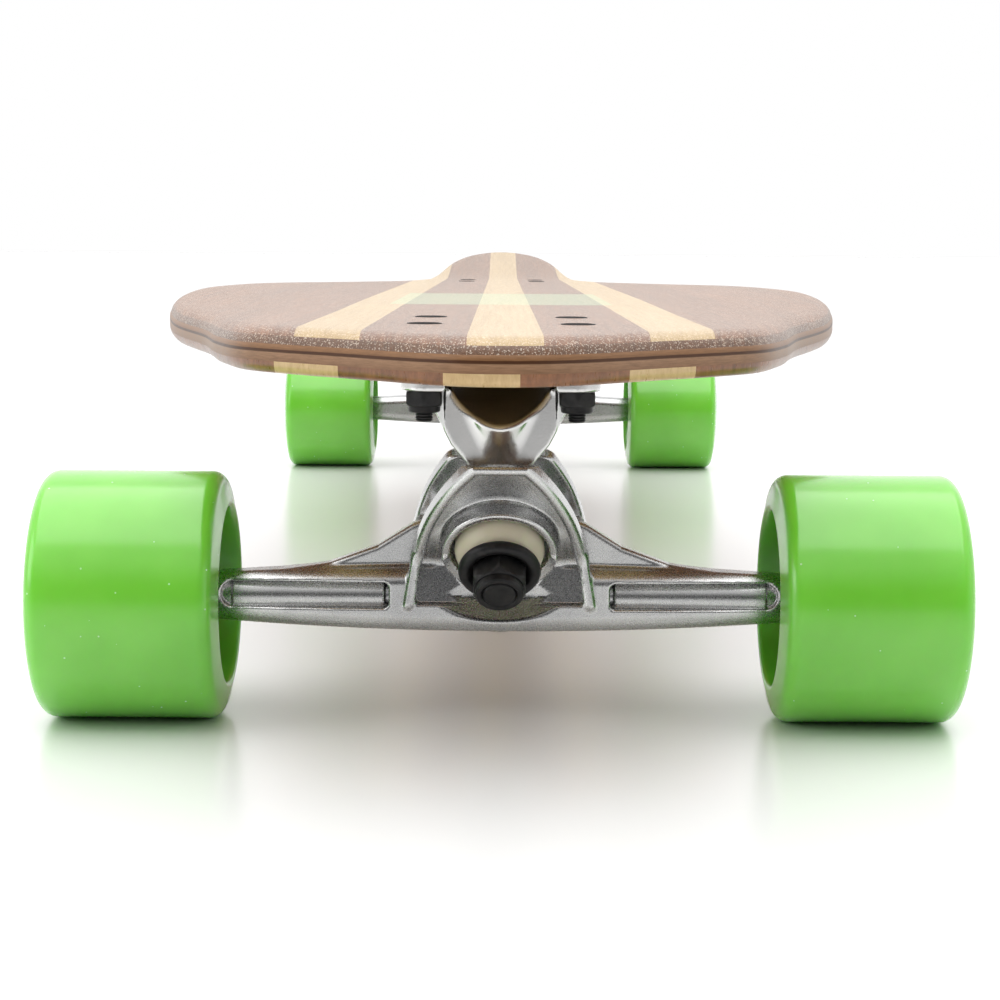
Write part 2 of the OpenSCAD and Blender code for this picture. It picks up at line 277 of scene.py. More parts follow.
def cast(shape, low, high, step):
    """A casting that is symmetric in x, from its distance field; the corners bound its x >= 0 half."""
    def field(x, y, z):
        return shape(np.abs(x), y, z)

    axes = [np.arange(low[i], high[i] + step, step) for i in range(3)]
    half = field(*np.meshgrid(*axes, indexing="ij"))
    whole = np.concatenate([half[:0:-1], half])
    points, quads = surface_net(whole, np.array([-axes[0][-1], low[1], low[2]]), step)
    for _ in range(3):
        slope = gradient(field, points)
        size = np.maximum((slope ** 2).sum(1), 0.25)
        move = (field(*points.T) / size)[:, None] * slope
        points = points - np.clip(move, -0.4 * step, 0.4 * step)
    slope = gradient(field, points)
    normals = slope / np.maximum(np.linalg.norm(slope, axis=1), 1e-6)[:, None]
    return points, quads, normals


# ------------------------------------------------------------------ materials

def new_material(name):
    """A material, a helper that adds nodes and one that sets or links an input of its shader."""
    material = bpy.data.materials.new(name)
    material.use_nodes = True
    tree = material.node_tree
    shader = tree.nodes["Principled BSDF"]

    def add(kind, inputs=None, **props):
        node = tree.nodes.new(kind)
        for key, value in props.items():
            setattr(node, key, value)
        for key, value in (inputs or {}).items():
            link(value, node.inputs[key])
        return node

    def link(value, socket):
        if isinstance(value, bpy.types.NodeSocket):
            tree.links.new(value, socket)
        else:
            socket.default_value = value

    def put(key, value):
        link(value, shader.inputs[key])

    return material, add, put


def ramp(add, value, stops):
    node = add("ShaderNodeValToRGB", {0: value})
    elements = node.color_ramp.elements
    elements[0].position, elements[0].color = stops[0][0], (*stops[0][1], 1)
    elements[1].position, elements[1].color = stops[-1][0], (*stops[-1][1], 1)
    for place, color in stops[1:-1]:
        elements.new(place).color = (*color, 1)
    return node.outputs[0]


def mix_color(add, share, a, b, blend="MIX"):
    """Colour a mixed with colour b; the share is how much of b shows."""
    node = add("ShaderNodeMix", data_type="RGBA", blend_type=blend)
    sockets = [s for s in node.inputs if s.enabled]
    for socket, value in zip(sockets, (share, a, b)):
        if isinstance(value, bpy.types.NodeSocket):
            node.id_data.links.new(value, socket)
        else:
            socket.default_value = (*value, 1) if isinstance(value, tuple) else value
    return [s for s in node.outputs if s.enabled][0]


def math_node(add, operation, *values):
    return add("ShaderNodeMath", dict(enumerate(values)), operation=operation).outputs[0]


def noise(add, vector, scale, detail=2.0, rough=0.5):
    inputs = {"Vector": vector, "Scale": scale, "Detail": detail, "Roughness": rough}
    return add("ShaderNodeTexNoise", inputs).outputs["Fac"]


def stretched(add, vector, scale):
    """The place scaled apart per axis, so that a pattern drawn on it has its grain along one of them."""
    return add("ShaderNodeMapping", {"Vector": vector, "Scale": scale}).outputs[0]


def object_place(add):
    return add("ShaderNodeTexCoord").outputs["Object"]


def bump(add, height, distance, strength):
    inputs = {"Height": height, "Distance": distance, "Strength": strength}
    return add("ShaderNodeBump", inputs).outputs[0]


# Stripes of the veneers in metres: half width of the middle one, middle and half width of the outer ones
STRIPE_MIDDLE = 0.0090
STRIPE_OUTER = 0.0443
STRIPE_OUTER_HALF = 0.0088


def stripe_mask(add, place, shift):
    """1 on the pale stripes and 0 between, with crisp glued edges."""
    x = add("ShaderNodeSeparateXYZ", {0: place}).outputs[0]
    away = math_node(add, "ABSOLUTE", math_node(add, "SUBTRACT", x, shift))
    centre = math_node(add, "LESS_THAN", away, STRIPE_MIDDLE)
    off = math_node(add, "ABSOLUTE", math_node(add, "SUBTRACT", away, STRIPE_OUTER))
    return math_node(add, "MAXIMUM", centre, math_node(add, "LESS_THAN", off, STRIPE_OUTER_HALF))


def wood_grain(add, place, dark, light):
    """Long fine grain along the board, with pores and slow changes of tone."""
    fine = noise(add, stretched(add, place, (900, 18, 300)), 1.0, 5.0, 0.62)
    broad = noise(add, stretched(add, place, (70, 2.5, 30)), 1.0, 3.0, 0.5)
    fine_share = math_node(add, "MULTIPLY", fine, 0.65)
    broad_share = math_node(add, "MULTIPLY", broad, 0.35)
    both = math_node(add, "ADD", fine_share, broad_share)
    return ramp(add, both, [(0.32, dark), (0.68, light)])


# Dark and light tone of each wood's grain
WALNUT = ((0.115, 0.041, 0.014), (0.270, 0.110, 0.042))
MAPLE = ((0.430, 0.280, 0.115), (0.610, 0.440, 0.225))
VENEER_EDGE = ((0.080, 0.030, 0.010), (0.175, 0.072, 0.027))
# Pale green bar on the top, in metres: its middle along the board, half its length and half its width
BAR_MIDDLE = (TRUCKS["front"][0] + 250) * MM
BAR_HALF = 0.086
BAR_WIDE = 0.040


def striped_wood(add, place, shift):
    dark = wood_grain(add, place, *WALNUT)
    light = wood_grain(add, place, *MAPLE)
    return mix_color(add, stripe_mask(add, place, shift), dark, light)


def grit_material():
    """Striped veneer under clear lacquer with glass grit, and painted glints on some grains."""
    material, add, put = new_material("grit_coat_striped")
    place = object_place(add)
    wood = striped_wood(add, place, 0.001)
    x, y = add("ShaderNodeSeparateXYZ", {0: place}).outputs[:2]
    along = math_node(add, "ABSOLUTE", math_node(add, "SUBTRACT", y, BAR_MIDDLE))
    bar_y = math_node(add, "LESS_THAN", along, BAR_HALF)
    bar_x = math_node(add, "LESS_THAN", math_node(add, "ABSOLUTE", x), BAR_WIDE)
    bar = math_node(add, "MULTIPLY", math_node(add, "MULTIPLY", bar_y, bar_x), 0.4)
    wood = mix_color(add, bar, wood, (0.42, 0.62, 0.36))
    # Below the crown the edge shows the veneer's dark side
    height = add("ShaderNodeAttribute", attribute_name="ply_height").outputs["Fac"]
    under = wood_grain(add, place, *VENEER_EDGE)
    wood = mix_color(add, math_node(add, "LESS_THAN", height, 0.5), wood, under)
    # Glass grains: each cell of the pattern is one grain; some of them get a painted highlight, a warm pale
    # glint painted into the colour
    grains = add("ShaderNodeTexVoronoi", {"Vector": place, "Scale": 3400.0})
    pick = add("ShaderNodeSeparateColor", {0: grains.outputs["Color"]})
    painted_glint = math_node(add, "GREATER_THAN", pick.outputs[0], 0.86)
    haze = math_node(add, "MULTIPLY", pick.outputs[1], 0.08)
    frosted = mix_color(add, haze, wood, (0.80, 0.62, 0.46))
    # Painted highlight: the glinting grains are mixed towards a warm near-white
    painted_glint_color = mix_color(add, math_node(add, "MULTIPLY", painted_glint, 0.42), frosted, (1.0, 0.86, 0.70))
    put("Base Color", painted_glint_color)
    put("Roughness", math_node(add, "MULTIPLY_ADD", pick.outputs[2], 0.35, 0.32))
    relief = math_node(add, "MULTIPLY", grains.outputs["Distance"], pick.outputs[1])
    put("Normal", bump(add, relief, 0.0005, 0.7))
    put("Coat Weight", 0.5)
    put("Coat Roughness", 0.3)
    put("Specular IOR Level", 0.45)
    return material


def ply_material():
    """Glued plies seen from the edge: lower wall, a thin dark band and upper ply, under lacquer."""
    material, add, put = new_material("lacquered_plies")
    place = object_place(add)
    ply = add("ShaderNodeAttribute", attribute_name="ply_height").outputs["Fac"]
    # A thin dark band lies between the lower wall and the upper ply
    tone = ramp(add, ply, [
        (0.00, (0.230, 0.125, 0.068)), (0.50, (0.300, 0.175, 0.100)), (0.55, (0.070, 0.026, 0.009)),
        (0.68, (0.066, 0.024, 0.008)), (0.73, (0.220, 0.110, 0.050)), (1.00, (0.250, 0.128, 0.060)),
    ])
    grain = noise(add, stretched(add, place, (260, 260, 2600)), 1.0, 4.0, 0.6)
    shade = ramp(add, grain, [(0.25, (0.72, 0.70, 0.68)), (0.75, (1.12, 1.12, 1.12))])
    put("Base Color", mix_color(add, 1.0, tone, shade, "MULTIPLY"))
    put("Roughness", math_node(add, "MULTIPLY_ADD", grain, 0.18, 0.26))
    put("Normal", bump(add, grain, 0.0001, 0.35))
    put("Specular IOR Level", 0.25)
    return material


def bottom_material():
    """Striped veneer of the underside, bare but sealed."""
    material, add, put = new_material("striped_bottom_veneer")
    place = object_place(add)
    put("Base Color", striped_wood(add, place, -0.0045))
    pores = noise(add, stretched(add, place, (1400, 40, 400)), 1.0, 4.0, 0.6)
    put("Roughness", math_node(add, "MULTIPLY_ADD", pores, 0.2, 0.2))
    put("Normal", bump(add, pores, 0.00012, 0.4))
    put("Specular IOR Level", 0.4)
    put("Coat Weight", 0.1)
    put("Coat Roughness", 0.25)
    return material


def metal_material(name, low, high, rough, grain_scale, bump_mm, edge_paling=0.0, brushed=None):
    """Bare metal between two tones, with a cast grain or one brushed by a stretch of its space."""
    material, add, put = new_material(name)
    place = object_place(add)
    where = stretched(add, place, brushed) if brushed else place
    grain = noise(add, where, grain_scale, 4.0, 0.6)
    cloud = noise(add, place, 45.0, 3.0, 0.55)
    tone = ramp(add, cloud, [(0.3, low), (0.7, high)])
    if edge_paling:
        # Sharp convex edges, found by the mesh's pointiness, are made paler
        edge = add("ShaderNodeNewGeometry").outputs["Pointiness"]
        paler_edge_mask = ramp(add, edge, [(0.5, (0, 0, 0)), (0.56, (1, 1, 1))])
        tone = mix_color(add, math_node(add, "MULTIPLY", paler_edge_mask, edge_paling), tone, (0.95, 0.94, 0.92))
    put("Base Color", tone)
    put("Metallic", 1.0)
    put("Roughness", math_node(add, "MULTIPLY_ADD", grain, 0.16, rough))
    put("Normal", bump(add, grain, bump_mm * MM, 0.6))
    return material


def black_material():
    """Black oxide steel, slightly oily."""
    material, add, put = new_material("black_oxide")
    place = object_place(add)
    cloud = noise(add, place, 320.0, 4.0, 0.6)
    tone = ramp(add, cloud, [(0.3, (0.007, 0.007, 0.008)), (0.75, (0.028, 0.027, 0.027))])
    put("Base Color", tone)
    put("Metallic", 0.5)
    put("Roughness", math_node(add, "MULTIPLY_ADD", cloud, 0.25, 0.28))
    put("Normal", bump(add, cloud, 0.00005, 0.5))
    return material


def urethane_material(name, deep, pale, scatter, rough, specks=0.0, coat=0.0):
    """Cast urethane: light goes a little way in, and fine dust sits on the skin."""
    material, add, put = new_material(name)
    place = object_place(add)
    cloud = noise(add, place, 38.0, 3.0, 0.5)
    tone = ramp(add, cloud, [(0.3, deep), (0.7, pale)])
    if specks:
        dust = add("ShaderNodeTexVoronoi", {"Vector": place, "Scale": 420.0, "Randomness": 1.0})
        pick = add("ShaderNodeSeparateColor", {0: dust.outputs["Color"]})
        near = math_node(add, "LESS_THAN", dust.outputs["Distance"], 0.11)
        some = math_node(add, "GREATER_THAN", pick.outputs[0], 0.90)
        spot = math_node(add, "MULTIPLY", math_node(add, "MULTIPLY", near, some), specks)
        tone = mix_color(add, spot, tone, (0.85, 0.97, 0.80))
    put("Base Color", tone)
    put("Subsurface Weight", scatter)
    put("Subsurface Radius", (0.35, 1.0, 0.22))
    put("Subsurface Scale", 0.012)
    skin = noise(add, place, 600.0, 3.0, 0.6)
    put("Roughness", math_node(add, "MULTIPLY_ADD", skin, 0.12, rough))
    put("Normal", bump(add, skin, 0.00003, 0.3))
    put("Coat Weight", coat)
    put("Coat Roughness", 0.18)
    return material


M_GRIT = grit_material()
M_PLY = ply_material()
M_BOTTOM = bottom_material()
# Darker and lighter tone of each metal and of the green urethane
SATIN_TONES = ((0.47, 0.47, 0.475), (0.60, 0.60, 0.595))
POLISHED_TONES = ((0.52, 0.52, 0.52), (0.65, 0.645, 0.63))
ZINC_TONES = ((0.50, 0.50, 0.51), (0.66, 0.66, 0.66))
BEARING_TONES = ((0.62, 0.62, 0.63), (0.74, 0.74, 0.74))
GREEN_TONES = ((0.155, 0.53, 0.034), (0.190, 0.60, 0.052))
M_CAST = metal_material("satin_casting", *SATIN_TONES, 0.19, 2200.0, 0.034, edge_paling=0.2)
M_POLISHED = metal_material("polished_casting", *POLISHED_TONES, 0.13, 1600.0, 0.015, edge_paling=0.2)
M_STEEL = metal_material("zinc_steel", *ZINC_TONES, 0.2, 1.0, 0.01, brushed=(60, 900, 900))
M_BEARING = metal_material("polished_steel", *BEARING_TONES, 0.1, 1500.0, 0.005)
M_BLACK = black_material()
M_GREEN = urethane_material("green_urethane", *GREEN_TONES, 0.5, 0.16, specks=0.5, coat=0.55)
M_CORE = urethane_material("green_hub", (0.09, 0.36, 0.02), (0.13, 0.42, 0.035), 0.3, 0.3)
M_CREAM = urethane_material("cream_urethane", (0.60, 0.56, 0.40), (0.72, 0.69, 0.53), 0.3, 0.34)
M_DARK_RUBBER = urethane_material("dark_urethane", (0.012, 0.012, 0.013), (0.035, 0.035, 0.036), 0.0, 0.5)


# ------------------------------------------------------------------ deck

# Half outline of the deck as (half width, distance from the nose)
OUTLINE = [
    (0, 0), (5.5, 0.6), (10.5, 2.1), (20.5, 9), (40.5, 30), (57, 47), (68.5, 62), (77.5, 88), (87.5, 133),
    (107, 200), (117.3, 270), (117, 394), (108, 500), (82, 652), (61, 752), (43.5, 917), (35, 1000),
    (25.5, 1040), (14, 1060), (5.5, 1066.4), (0, 1067),
]
# Edge of the deck from the crown round to the underside, as (distance in from the outline, height)
EDGE_TOP = [
    (10, 12.0), (8, 11.93), (6.3, 11.78), (4.8, 11.5), (3.5, 11.1), (2.4, 10.55), (1.5, 9.85), (0.9, 9.05),
    (0.6, 8.3), (0.5, 7.8),
]
EDGE_CORE = [(0.3, 7.5), (0.1, 7.1), (0, 6.6), (0, 5.9), (0, 4.8), (0, 3.4)]
EDGE_BOTTOM = [(0.1, 2.8), (0.35, 2.1), (0.8, 1.4), (1.6, 0.7), (2.9, 0.2), (5.0, 0.0)]
# Concave: half width of its flat middle, its rise per square millimetre, and where it starts and is full
FLAT_HALF = 28
CONCAVE = 5 / 89.5 ** 2
CONCAVE_START = 130
CONCAVE_FULL = 350
# Tail kick: where it starts, the length of its bend and the slope after it
KICK_START = TRUCKS["rear"][0] + 45
KICK_BLEND = 90
KICK_SLOPE = 0.09
# Mesh of the deck: spacing of its rows along the outline, and pieces across each flat face
DECK_ROW = 3.0
DECK_COLUMNS = 40
# Countersink for a bolt head as (radius, height from the deck's top)
SINK = [(0, -2.9), (2.6, -2.9), (4.75, -0.7), (4.75, 1), (0, 1)]


def deck_rise(x, y):
    """Height added by the concave, which builds up behind the nose, and by the tail kick."""
    d = np.maximum(y - KICK_START, 0)
    kick = KICK_SLOPE * np.where(d < KICK_BLEND, d * d / (2 * KICK_BLEND), d - KICK_BLEND / 2)
    u = np.clip((y - DECK_LOW[1] - CONCAVE_START) / (CONCAVE_FULL - CONCAVE_START), 0, 1)
    share = u * u * (3 - 2 * u)
    return share * CONCAVE * np.maximum(np.abs(x) - FLAT_HALF, 0) ** 2 + kick


def outline_curve():
    """Even points along the half outline, by a centripetal spline, and the inward normal at each."""
    p = np.array(OUTLINE, float)
    p = np.vstack([[-p[1, 0], p[1, 1]], p, [-p[-2, 0], p[-2, 1]]])
    dense = []
    for a, b, c, d in zip(p[:-3], p[1:-2], p[2:-1], p[3:]):
        t0 = 0.0
        t1 = t0 + math.sqrt(math.dist(a, b))
        t2 = t1 + math.sqrt(math.dist(b, c))
        t3 = t2 + math.sqrt(math.dist(c, d))
        for t in np.linspace(t1, t2, 40, endpoint=False):
            a1 = (t1 - t) / (t1 - t0) * a + (t - t0) / (t1 - t0) * b
            a2 = (t2 - t) / (t2 - t1) * b + (t - t1) / (t2 - t1) * c
            a3 = (t3 - t) / (t3 - t2) * c + (t - t2) / (t3 - t2) * d
            b1 = (t2 - t) / (t2 - t0) * a1 + (t - t0) / (t2 - t0) * a2
            b2 = (t3 - t) / (t3 - t1) * a2 + (t - t1) / (t3 - t1) * a3
            dense.append((t2 - t) / (t2 - t1) * b1 + (t - t1) / (t2 - t1) * b2)
    dense.append(p[-2])
    dense = np.array(dense)
    length = np.concatenate([[0], np.cumsum(np.hypot(*np.diff(dense, axis=0).T))])
    even = np.linspace(0, length[-1], int(length[-1] / DECK_ROW) + 1)
    curve = np.column_stack([np.interp(even, length, dense[:, c]) for c in (0, 1)])
    way = np.gradient(curve, axis=0)
    way[0], way[-1] = (1, 0), (-1, 0)
    way /= np.hypot(*way.T)[:, None]
    return curve, np.column_stack([-way[:, 1], way[:, 0]])


def deck_layer(name, profile, material):
    """A closed layer of the deck whose rim follows part of the edge profile."""
    curve, inward = outline_curve()
    shares = np.linspace(1, -1, DECK_COLUMNS + 1)[1:-1]
    rows = []
    for point, normal in zip(curve, inward):
        rim = [(max(point[0] + normal[0] * d, 0), point[1] + normal[1] * d, h) for d, h in profile]
        first, last = rim[0], rim[-1]
        ring = rim + [(last[0] * s, last[1], last[2]) for s in shares]
        ring += [(-x, y, h) for x, y, h in rim[::-1]]
        ring += [(-first[0] * s, first[1], first[2]) for s in shares]
        rows.append(ring)
    rows = np.array(rows)
    count = rows.shape[1]
    points = rows.reshape(-1, 3)
    heights = points[:, 2].copy()
    x, y = points[:, 0], points[:, 1] + DECK_LOW[1]
    points = np.column_stack([x, y, DECK_BOTTOM + heights + deck_rise(x, y)])
    faces = [
        (i * count + j, i * count + (j + 1) % count, (i + 1) * count + (j + 1) % count, (i + 1) * count + j)
        for i in range(len(rows) - 1) for j in range(count)
    ]
    piece = make_piece(name, points, faces, material, sharp_deg=50)
    # How high each point is in the layer, from 0 to 1, for the materials
    base, top = profile[-1][1], profile[0][1]
    place = np.array([v.co for v in piece.data.vertices]) / MM
    level = (place[:, 2] - DECK_BOTTOM - deck_rise(place[:, 0], place[:, 1]) - base) / (top - base)
    attribute = piece.data.attributes.new("ply_height", "FLOAT", "POINT")
    attribute.data.foreach_set("value", level.astype(np.float32))
    return piece


def drill(piece, cutters):
    """Cuts closed (points, faces) shapes out of a piece."""
    tool = make_piece("drill", *merge_meshes(cutters), M_BLACK)
    cut = piece.modifiers.new("holes", "BOOLEAN")
    cut.operation = "DIFFERENCE"
    cut.solver = "EXACT"
    cut.object = tool
    whole = piece.evaluated_get(bpy.context.evaluated_depsgraph_get())
    mesh = bpy.data.meshes.new_from_object(whole)
    piece.modifiers.clear()
    piece.data = mesh
    bpy.data.objects.remove(tool)


def bolt_offsets():
    """The four bolts' axes in the truck's own coordinates."""
    return [np.array([sx * BOLT_X, BOLT_MIDDLE + sy * BOLT_Y, 0]) for sx in (-1, 1) for sy in (-1, 1)]


def build_deck():
    top = deck_layer("deck_grit_top", EDGE_TOP, M_GRIT)
    points, faces = turn([(r, DECK_TOP + h) for r, h in SINK], 36, closed=False)
    sinks = []
    for truck in TRUCKS:
        for offset in bolt_offsets():
            sinks.append((points + truck_to_board([offset], truck)[0], faces))
    drill(top, sinks)
    finish_piece(top, "board", "grit_coat", "grip_coat", "deck_top_veneer")
    core = deck_layer("deck_core_plies", [EDGE_TOP[-1]] + EDGE_CORE, M_PLY)
    finish_piece(core, "board", "maple_core", "deck_core")
    bottom = deck_layer("deck_bottom_skin", [EDGE_CORE[-1]] + EDGE_BOTTOM, M_BOTTOM)
    finish_piece(bottom, "board", "striped_veneer", "deck_bottom_veneer")


build_deck()


# ------------------------------------------------------------------ castings

def mirrored(half):
    """A closed outline from the points of its right half, listed bottom to top."""
    return half + [(-x, y) for x, y in half[::-1]]


# Right edge of the hanger's shield in (x, n), from the foot up to its flat top
SHIELD_SIDE = [
    (26.7, -25.6), (26.7, -18), (25.7, -9.5), (24.6, -4.5), (22.8, 3.7), (20.2, 11.8), (16.2, 20),
    (11.5, 27.5), (7.5, 32),
]


def shield_outline():
    """The shield's outline for x >= 0, its edge smoothed by averaging and closed far to the left."""
    x, n = np.array(SHIELD_SIDE, float).T
    fine = np.linspace(n[0], n[-1], 26)
    edge = np.interp(fine, n, x)
    for _ in range(3):
        edge[1:-1] = (edge[:-2] + 2 * edge[1:-1] + edge[2:]) / 4
    return [(-20, n[0])] + list(zip(edge, fine)) + [(-20, n[-1])]


SHIELD = shield_outline()
# Web between shield and beam, in (x, z)
GUSSET = mirrored([(66, 35), (66, 40.5), (58, 42.8), (48, 44.6), (34.5, 49.6), (24.6, 55.8), (12, 61)])
# The steering axis lies in the plane of x = 0 at this t
STEER_T = -10.0
# Radii in both castings: axle, kingpin hole, bushing seats, collar, pivot housing and its cup's bore
AXLE_R = 4.0
KINGPIN_HOLE_R = 7.5
ROAD_SEAT_R = 13.4
BOARD_SEAT_R = 12.9
COLLAR_R = 16.0
HOUSING_R = 9.0
CUP_BORE_R = 7.6
# Half thickness of the axle beam at x = 0, and the radius of its corners
BEAM_R = 9.3
BEAM_CORNER = 4.8
# Radius of the rib round the shield, the shield's top in z and the top of the arch behind it in n
RIB_R = 1.6
SHIELD_TOP_Z = 75.2
ARCH_TOP = 18.5


def kingpin_coords(y, z):
    """Fields n and t of the kingpin frame for points (y, z) of the truck."""
    dy, dz = y - FOOT[0], z - FOOT[1]
    return dy * N_DIR[0] + dz * N_DIR[1], dy * T_DIR[0] + dz * T_DIR[1]


def box_distance(x, y, low_x, high_x, low_y, high_y, corner):
    """Signed distance to a rectangle with round corners."""
    dx = np.abs(x - (low_x + high_x) / 2) - (high_x - low_x) / 2 + corner
    dy = np.abs(y - (low_y + high_y) / 2) - (high_y - low_y) / 2 + corner
    return np.hypot(np.maximum(dx, 0), np.maximum(dy, 0)) + np.minimum(np.maximum(dx, dy), 0) - corner


def hanger_shape(x, y, z):
    n, t = kingpin_coords(y, z)
    about_axle = np.hypot(y, z - AXLE_Z)
    about_kingpin = np.hypot(x, n)
    about_steer = np.hypot(x, t - STEER_T)
    front = polygon_distance(x, n, SHIELD)
    rear = polygon_distance(x, n + 5, SHIELD)
    gusset = polygon_distance(x, z, GUSSET)

    # Beam that thins outward, cut away round the pivot housing; then plate, seats, arch and webs
    beam_r = BEAM_R - 0.0004 * x * x
    beam = box_distance(y, z - AXLE_Z, -beam_r, beam_r, -beam_r, beam_r, BEAM_CORNER)
    beam = smooth_max(beam, x - HANGER_HALF + 0.1, 1.0)
    beam = smooth_max(beam, -np.maximum(about_steer - 10.2, n + 27.6), 0.6)
    plate = smooth_max(front + 3.0, between(t, -6.4, -4.0), 0.8)
    plate = smooth_max(plate, z - SHIELD_TOP_Z, 0.6)
    tube = smooth_max(about_kingpin - 15.2, between(t, -18, -3), 1.2)
    arch = smooth_max(smooth_max(rear, n - ARCH_TOP, 2.0), between(t, -22.0, -18.0), 1.2)
    arch = smooth_max(arch, -24 - n, 1.0)
    block = smooth_max(box_distance(x, n, -17, 17, -24, 4, 4), between(t, -17, -4.5), 2.0)
    web = smooth_max(gusset, between(y, -3.2, 4.0), 1.5)
    neck_r = 4.5 + 4.5 * np.clip((n + 27) / 9, 0, 1) ** 2
    neck = smooth_max(about_steer - neck_r, between(n, -29, -14), 1.0)
    body = smooth_min(smooth_min(beam, web, 1.2), smooth_min(plate, arch, 1.0), 2.0)
    body = smooth_min(smooth_min(body, block, 3.0), smooth_min(tube, neck, 2.0), 2.0)

    # Recesses in the front of the beam: between the ribs, and the long slots with a round core
    middle_depth = y + 4.4 + 0.16 * (44 - z)
    middle_recess = smooth_max(box_distance(x, z, -30, 23.5, 33.9, 44.0, 1.0), middle_depth, 0.6)
    slot_recess = smooth_max(box_distance(x, z, 31, 80.5, 32.7, 39.9, 1.6), y + 1.5, 0.6)
    slot_end = np.hypot(x - 74.6, z - 36.3) - 3.6
    slot_recess = np.where(x > 74.6, np.maximum(slot_recess, slot_end), slot_recess)
    body = smooth_max(body, -smooth_min(middle_recess, slot_recess, 0.5), 0.8)
    core = smooth_max(about_axle - 6.0, between(x, 32.4, 75.2), 0.5)
    body = smooth_min(body, core, 0.3)
    body = smooth_min(body, smooth_max(about_axle - 5.4, between(x, 32, 86), 0.5), 0.3)

    # Round rib along the shield's edge and down over the beam, and the collar of the bushing seat
    rib = np.hypot(front + RIB_R, np.maximum(t + RIB_R, 0) + np.minimum(t + 4.2, 0)) - RIB_R
    rib = smooth_max(smooth_max(rib, -5.5 - n, 1.0), z - SHIELD_TOP_Z, 0.6)
    rib_leg = np.hypot(x - 24.2 + 0.164 * (z - 41), y + 8.5)
    rib_leg = np.hypot(rib_leg, np.maximum(np.abs(z - 40.8) - 6.8, 0)) - RIB_R
    rib = smooth_min(rib, rib_leg, 1.6)
    low_side = np.clip(-n / 6, 0, 1)
    collar_side = about_kingpin - COLLAR_R - 0.3 * low_side
    collar = smooth_max(collar_side, between(t, -9, 1.8 + 3 * low_side), 0.9)
    body = smooth_min(body, smooth_min(rib, collar, 0.8), 0.9)

    # Bushing seats, kingpin hole and the flared scoop under the kingpin nut
    seat = np.maximum(about_kingpin - ROAD_SEAT_R, -7 - t)
    squeeze = 1 - 0.33 * low_side * np.clip((t - 0.5) / 3, 0, 1)
    widen = 4.6 * low_side * (1 - np.exp(-np.maximum(t - 0.5, 0) / 1.5))
    scoop = np.maximum(np.hypot(squeeze * x, n) - 13.5 - widen, -t) * 0.8
    body = smooth_max(body, -smooth_min(seat, scoop, 1.0), 0.7)
    board_seat = np.maximum(about_kingpin - BOARD_SEAT_R, t + 13)
    rear_opening = np.maximum(about_kingpin - COLLAR_R, t + 18.2)
    body = smooth_max(body, -np.minimum(board_seat, rear_opening), 0.7)
    body = np.maximum(body, KINGPIN_HOLE_R - about_kingpin)
    return np.maximum(body, AXLE_R - about_axle)


# Baseplate outlines: the leg from the side in (y, z), the leg and the channel's walls in (x, z)
LEG = [
    (-6, 96), (-6, 87), (-1.6, 83.6), (1.5, 79.9), (20.1, 57.7), (28.4, 47.8), (22.5, 39), (19, 31),
    (25, 23), (32, 26), (43, 46), (53.5, 94), (53.5, 96),
]
TAPER = mirrored([(9.5, 15), (9.5, 68), (11.5, 75), (22, 96)])
WING = mirrored([(6.0, 70), (7.6, 73), (13.4, 79.8), (17.4, 87.5), (22, 96)])
# Flange of the baseplate, from its underside to the deck
FLANGE_Z = (95.2, 100.75)
# Radii of the bolt holes and the pockets of their nuts
BOLT_HOLE_R = 2.5
NUT_POCKET_R = 5.9
# Radius of the open channel and the slope of its ramp
CHANNEL_R = 14.5
RAMP_RISE = math.radians(15)


def baseplate_shape(x, y, z):
    n, t = kingpin_coords(y, z)
    about_kingpin = np.hypot(x, n)
    about_steer = np.hypot(x, t - STEER_T)
    flange = smooth_max(box_distance(x, y, -26.8, 26.8, -33.8, 53.8, 8), between(z, *FLANGE_Z), 0.7)
    leg = smooth_max(polygon_distance(y, z, LEG), polygon_distance(x, z, TAPER), 2.0)
    # Lip of the open channel: a bucket that narrows downward in front of the kingpin seat
    down = np.clip((96 - z) / 22, 0, 1.2)
    wide = 15.4 - 6.8 * down
    deep = 21.0 - 9.0 * down
    bucket = (np.hypot(x / wide, np.minimum(y + 7, 0) / deep) - 1) * np.minimum(wide, deep)
    bucket = smooth_max(bucket, np.maximum(73.9 + 0.95 * np.maximum(y + 18, 0) - z, z - 97), 1.5)
    bucket = smooth_max(bucket, y - 4, 1.0)
    wing = smooth_max(polygon_distance(x, z, WING), between(y, -20, 6), 1.0)
    wing = smooth_max(wing, 71.5 + 0.95 * np.clip(y + 18.5, 0, 17) - z, 1.5)
    boss = smooth_max(about_kingpin - 13.5, between(t, -38, -30), 1.0)
    housing = smooth_max(about_steer - HOUSING_R, between(n, -38.8, -28.6), 1.0)
    housing = smooth_max(housing, (about_steer - HOUSING_R - 37.2 - n) * 0.707, 0.6)
    body = smooth_min(smooth_min(flange, leg, 3.0), smooth_min(bucket, wing, 1.2), 2.0)
    body = smooth_min(body, smooth_min(boss, housing, 1.0), 2.0)
    # Nut pockets, bolt holes, channel, kingpin pocket and cup bore
    bolt_y = np.minimum(np.abs(y - BOLT_MIDDLE + BOLT_Y), np.abs(y - BOLT_MIDDLE - BOLT_Y))
    bolt = np.hypot(x - BOLT_X, bolt_y)
    body = smooth_max(body, -np.maximum(bolt - NUT_POCKET_R, z - 95), 0.5)
    body = np.maximum(body, BOLT_HOLE_R - bolt)
    up = (y + 20) * -math.sin(RAMP_RISE) + (z - 86.2) * math.cos(RAMP_RISE)
    channel = np.where(up > CHANNEL_R, x, np.hypot(x, up - CHANNEL_R)) - CHANNEL_R
    body = smooth_max(body, -channel, 1.6)
    pocket = np.maximum(about_kingpin - 8.6, t + 36)
    body = smooth_max(body, -pocket, 0.5)
    cup_bore = np.maximum(about_steer - CUP_BORE_R, between(n, -37.8, -24))
    return np.maximum(body, -cup_bore)


